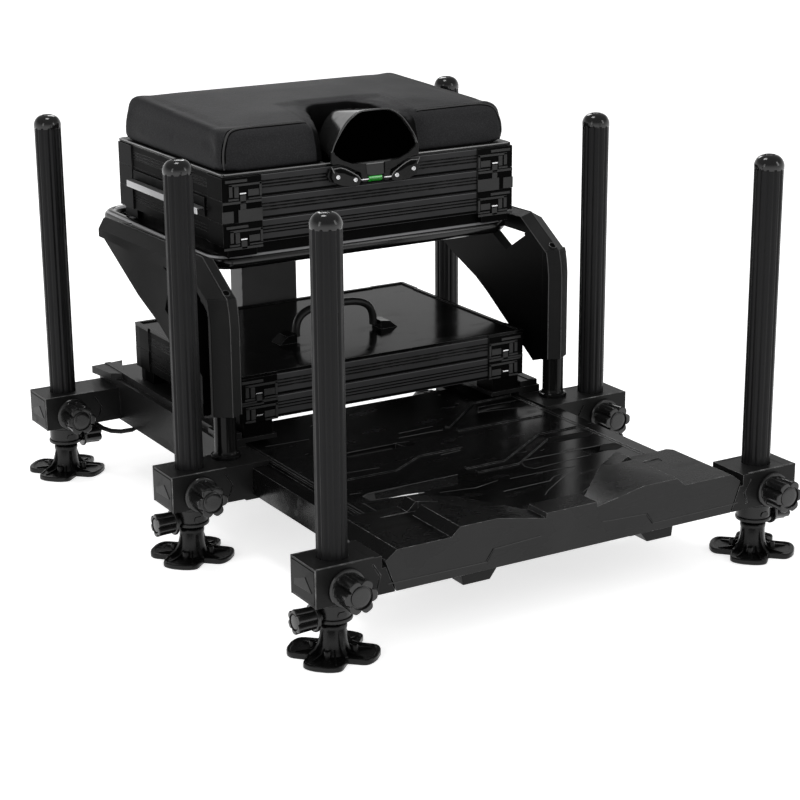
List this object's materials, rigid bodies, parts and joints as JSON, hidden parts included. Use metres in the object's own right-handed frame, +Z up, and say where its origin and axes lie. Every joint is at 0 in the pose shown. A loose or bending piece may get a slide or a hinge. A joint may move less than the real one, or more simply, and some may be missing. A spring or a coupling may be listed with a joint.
{
  "type": "fishing seat box",
  "caption": "Match fishing seat box with telescopic legs and mud feet, sliding footplate, raised cushioned seat on stacked trays with a side drawer, low tray stack and folding pole cup.",
  "frame": {"origin": "on the ground under the middle of the footprint", "axes": "+Z up, -Y towards the footplate and the water, +X to the right of somebody who looks at the seat from the front, towards +Y"},
  "size_m": [0.739, 0.8913, 0.538],
  "materials": {
    "leg_alloy": "black anodised, fluted",
    "inner_alloy": "black anodised",
    "collar_plastic": "satin black",
    "foot_plastic": "satin black",
    "knob_plastic": "semi-gloss black",
    "frame_paint": "black powder coat",
    "beam_paint": "black powder coat",
    "tube_paint": "gloss black",
    "support_paint": "black powder coat",
    "cover_plastic": "satin black",
    "footplate_plastic": "semi-gloss black",
    "side_frame_plastic": "satin black",
    "module_plastic": "satin black",
    "drawer_plastic": "satin black",
    "handle_alloy": "satin silver",
    "lid_plastic": "satin black",
    "grip_plastic": "satin black",
    "seat_board": "black",
    "seat_fabric": "black fabric",
    "cup_plastic": "gloss black",
    "bracket_plastic": "satin black",
    "vial": "clear green"
  },
  "bodies": {
    "frame": {"chassis_frame": "frame_paint", "deck_frame": "tube_paint", "side_frame_left": "side_frame_plastic", "side_frame_right": "side_frame_plastic", "frame_post_left": "tube_paint", "frame_post_right": "tube_paint", "rear_support": "support_paint", "upper_tray_bottom": "module_plastic", "drawer_cabinet": "module_plastic", "top_tray": "module_plastic", "cup_bracket": "bracket_plastic", "level_vial": "vial"},
    "footplate_unit": {"footplate": "footplate_plastic", "footplate_cover": "cover_plastic", "front_beam": "beam_paint"},
    "low_stack": {"lower_tray_bottom": "module_plastic", "lower_tray_top": "module_plastic"},
    "low_lid": {"lower_lid": "lid_plastic"},
    "handle": {"carry_handle": "grip_plastic"},
    "drawer": {"side_drawer": "drawer_plastic", "drawer_handle": "handle_alloy"},
    "seat": {"seat_lid": "seat_board", "seat_cushion": "seat_fabric"},
    "cup": {"pole_cup": "cup_plastic"},
    "front_left_leg_set": {"front_left_leg": "leg_alloy", "front_left_leg_collar": "collar_plastic"},
    "front_left_clamp": {"front_left_leg_knob": "knob_plastic"},
    "front_left_inner": {"front_left_inner_leg": "inner_alloy"},
    "front_left_collar_clamp": {"front_left_collar_knob": "knob_plastic"},
    "front_left_foot": {"front_left_mud_foot": "foot_plastic"},
    "front_right_leg_set": {"front_right_leg": "leg_alloy", "front_right_leg_collar": "collar_plastic"},
    "front_right_clamp": {"front_right_leg_knob": "knob_plastic"},
    "front_right_inner": {"front_right_inner_leg": "inner_alloy"},
    "front_right_collar_clamp": {"front_right_collar_knob": "knob_plastic"},
    "front_right_foot": {"front_right_mud_foot": "foot_plastic"},
    "mid_left_leg_set": {"mid_left_leg": "leg_alloy", "mid_left_leg_collar": "collar_plastic"},
    "mid_left_clamp": {"mid_left_leg_knob": "knob_plastic"},
    "mid_left_inner": {"mid_left_inner_leg": "inner_alloy"},
    "mid_left_collar_clamp": {"mid_left_collar_knob": "knob_plastic"},
    "mid_left_foot": {"mid_left_mud_foot": "foot_plastic"},
    "mid_right_leg_set": {"mid_right_leg": "leg_alloy", "mid_right_leg_collar": "collar_plastic"},
    "mid_right_clamp": {"mid_right_leg_knob": "knob_plastic"},
    "mid_right_inner": {"mid_right_inner_leg": "inner_alloy"},
    "mid_right_collar_clamp": {"mid_right_collar_knob": "knob_plastic"},
    "mid_right_foot": {"mid_right_mud_foot": "foot_plastic"},
    "rear_left_leg_set": {"rear_left_leg": "leg_alloy", "rear_left_leg_collar": "collar_plastic"},
    "rear_left_clamp": {"rear_left_leg_knob": "knob_plastic"},
    "rear_left_inner": {"rear_left_inner_leg": "inner_alloy"},
    "rear_left_collar_clamp": {"rear_left_collar_knob": "knob_plastic"},
    "rear_left_foot": {"rear_left_mud_foot": "foot_plastic"},
    "rear_right_leg_set": {"rear_right_leg": "leg_alloy", "rear_right_leg_collar": "collar_plastic"},
    "rear_right_clamp": {"rear_right_leg_knob": "knob_plastic"},
    "rear_right_inner": {"rear_right_inner_leg": "inner_alloy"},
    "rear_right_collar_clamp": {"rear_right_collar_knob": "knob_plastic"},
    "rear_right_foot": {"rear_right_mud_foot": "foot_plastic"}
  },
  "joints": [
    {"name": "footplate_slide", "type": "slide", "parent": "frame", "child": "footplate_unit", "axis": [0, 1, 0], "range_m": [0, 0.235]},
    {"name": "low_stack_slide", "type": "slide", "parent": "frame", "child": "low_stack", "axis": [0, -1, 0], "range_m": [0, 0.3]},
    {"name": "low_lid_hinge", "type": "hinge", "parent": "low_stack", "child": "low_lid", "pos_m": [0, 0.3484, 0.2094], "axis": [-1, 0, 0], "range_deg": [0, 19]},
    {"name": "handle_fold", "type": "hinge", "parent": "low_lid", "child": "handle", "pos_m": [-0.008, 0.1474, 0.221], "axis": [1, 0, 0], "range_deg": [0, 80]},
    {"name": "drawer_slide", "type": "slide", "parent": "frame", "child": "drawer", "axis": [-1, 0, 0], "range_m": [0, 0.3]},
    {"name": "seat_hinge", "type": "hinge", "parent": "frame", "child": "seat", "pos_m": [0, 0.3784, 0.4674], "axis": [-1, 0, 0], "range_deg": [0, 85]},
    {"name": "cup_fold", "type": "hinge", "parent": "frame", "child": "cup", "pos_m": [0, 0.0464, 0.4465], "axis": [1, 0, 0], "range_deg": [0, 90]},
    {"name": "front_left_leg_slide", "type": "slide", "parent": "footplate_unit", "child": "front_left_leg_set", "axis": [0, 0, -1], "range_m": [0, 0.25]},
    {"name": "front_left_leg_knob_turn", "type": "hinge", "parent": "footplate_unit", "child": "front_left_clamp", "pos_m": [-0.306, -0.4109, 0.0924], "axis": [0, -1, 0], "range_deg": [0, 360]},
    {"name": "front_left_inner_leg_slide", "type": "slide", "parent": "front_left_leg_set", "child": "front_left_inner", "axis": [0, 0, -1], "range_m": [0, 0.15]},
    {"name": "front_left_collar_knob_turn", "type": "hinge", "parent": "front_left_leg_set", "child": "front_left_collar_clamp", "pos_m": [-0.3293, -0.3786, 0.05], "axis": [-1, 0, 0], "range_deg": [0, 360]},
    {"name": "front_left_foot_tilt", "type": "hinge", "parent": "front_left_inner", "child": "front_left_foot", "pos_m": [-0.306, -0.3786, 0.028], "axis": [1, 0, 0], "range_deg": [-15, 15]},
    {"name": "front_right_leg_slide", "type": "slide", "parent": "footplate_unit", "child": "front_right_leg_set", "axis": [0, 0, -1], "range_m": [0, 0.25]},
    {"name": "front_right_leg_knob_turn", "type": "hinge", "parent": "footplate_unit", "child": "front_right_clamp", "pos_m": [0.306, -0.4109, 0.0924], "axis": [0, -1, 0], "range_deg": [0, 360]},
    {"name": "front_right_inner_leg_slide", "type": "slide", "parent": "front_right_leg_set", "child": "front_right_inner", "axis": [0, 0, -1], "range_m": [0, 0.15]},
    {"name": "front_right_collar_knob_turn", "type": "hinge", "parent": "front_right_leg_set", "child": "front_right_collar_clamp", "pos_m": [0.3293, -0.3786, 0.05], "axis": [1, 0, 0], "range_deg": [0, 360]},
    {"name": "front_right_foot_tilt", "type": "hinge", "parent": "front_right_inner", "child": "front_right_foot", "pos_m": [0.306, -0.3786, 0.028], "axis": [1, 0, 0], "range_deg": [-15, 15]},
    {"name": "mid_left_leg_slide", "type": "slide", "parent": "frame", "child": "mid_left_leg_set", "axis": [0, 0, -1], "range_m": [0, 0.25]},
    {"name": "mid_left_leg_knob_turn", "type": "hinge", "parent": "frame", "child": "mid_left_clamp", "pos_m": [-0.311, -0.0479, 0.0924], "axis": [0, -1, 0], "range_deg": [0, 360]},
    {"name": "mid_left_inner_leg_slide", "type": "slide", "parent": "mid_left_leg_set", "child": "mid_left_inner", "axis": [0, 0, -1], "range_m": [0, 0.15]},
    {"name": "mid_left_collar_knob_turn", "type": "hinge", "parent": "mid_left_leg_set", "child": "mid_left_collar_clamp", "pos_m": [-0.3343, -0.0156, 0.05], "axis": [-1, 0, 0], "range_deg": [0, 360]},
    {"name": "mid_left_foot_tilt", "type": "hinge", "parent": "mid_left_inner", "child": "mid_left_foot", "pos_m": [-0.311, -0.0156, 0.028], "axis": [1, 0, 0], "range_deg": [-15, 15]},
    {"name": "mid_right_leg_slide", "type": "slide", "parent": "frame", "child": "mid_right_leg_set", "axis": [0, 0, -1], "range_m": [0, 0.25]},
    {"name": "mid_right_leg_knob_turn", "type": "hinge", "parent": "frame", "child": "mid_right_clamp", "pos_m": [0.311, -0.0479, 0.0924], "axis": [0, -1, 0], "range_deg": [0, 360]},
    {"name": "mid_right_inner_leg_slide", "type": "slide", "parent": "mid_right_leg_set", "child": "mid_right_inner", "axis": [0, 0, -1], "range_m": [0, 0.15]},
    {"name": "mid_right_collar_knob_turn", "type": "hinge", "parent": "mid_right_leg_set", "child": "mid_right_collar_clamp", "pos_m": [0.3343, -0.0156, 0.05], "axis": [1, 0, 0], "range_deg": [0, 360]},
    {"name": "mid_right_foot_tilt", "type": "hinge", "parent": "mid_right_inner", "child": "mid_right_foot", "pos_m": [0.311, -0.0156, 0.028], "axis": [1, 0, 0], "range_deg": [-15, 15]},
    {"name": "rear_left_leg_slide", "type": "slide", "parent": "frame", "child": "rear_left_leg_set", "axis": [0, 0, -1], "range_m": [0, 0.25]},
    {"name": "rear_left_leg_knob_turn", "type": "hinge", "parent": "frame", "child": "rear_left_clamp", "pos_m": [-0.321, 0.3501, 0.0924], "axis": [0, -1, 0], "range_deg": [0, 360]},
    {"name": "rear_left_inner_leg_slide", "type": "slide", "parent": "rear_left_leg_set", "child": "rear_left_inner", "axis": [0, 0, -1], "range_m": [0, 0.15]},
    {"name": "rear_left_collar_knob_turn", "type": "hinge", "parent": "rear_left_leg_set", "child": "rear_left_collar_clamp", "pos_m": [-0.2977, 0.3824, 0.05], "axis": [1, 0, 0], "range_deg": [0, 360]},
    {"name": "rear_left_foot_tilt", "type": "hinge", "parent": "rear_left_inner", "child": "rear_left_foot", "pos_m": [-0.321, 0.3824, 0.028], "axis": [1, 0, 0], "range_deg": [-15, 15]},
    {"name": "rear_right_leg_slide", "type": "slide", "parent": "frame", "child": "rear_right_leg_set", "axis": [0, 0, -1], "range_m": [0, 0.25]},
    {"name": "rear_right_leg_knob_turn", "type": "hinge", "parent": "frame", "child": "rear_right_clamp", "pos_m": [0.321, 0.3501, 0.0924], "axis": [0, -1, 0], "range_deg": [0, 360]},
    {"name": "rear_right_inner_leg_slide", "type": "slide", "parent": "rear_right_leg_set", "child": "rear_right_inner", "axis": [0, 0, -1], "range_m": [0, 0.15]},
    {"name": "rear_right_collar_knob_turn", "type": "hinge", "parent": "rear_right_leg_set", "child": "rear_right_collar_clamp", "pos_m": [0.2977, 0.3824, 0.05], "axis": [-1, 0, 0], "range_deg": [0, 360]},
    {"name": "rear_right_foot_tilt", "type": "hinge", "parent": "rear_right_inner", "child": "rear_right_foot", "pos_m": [0.321, 0.3824, 0.028], "axis": [1, 0, 0], "range_deg": [-15, 15]}
  ]
}
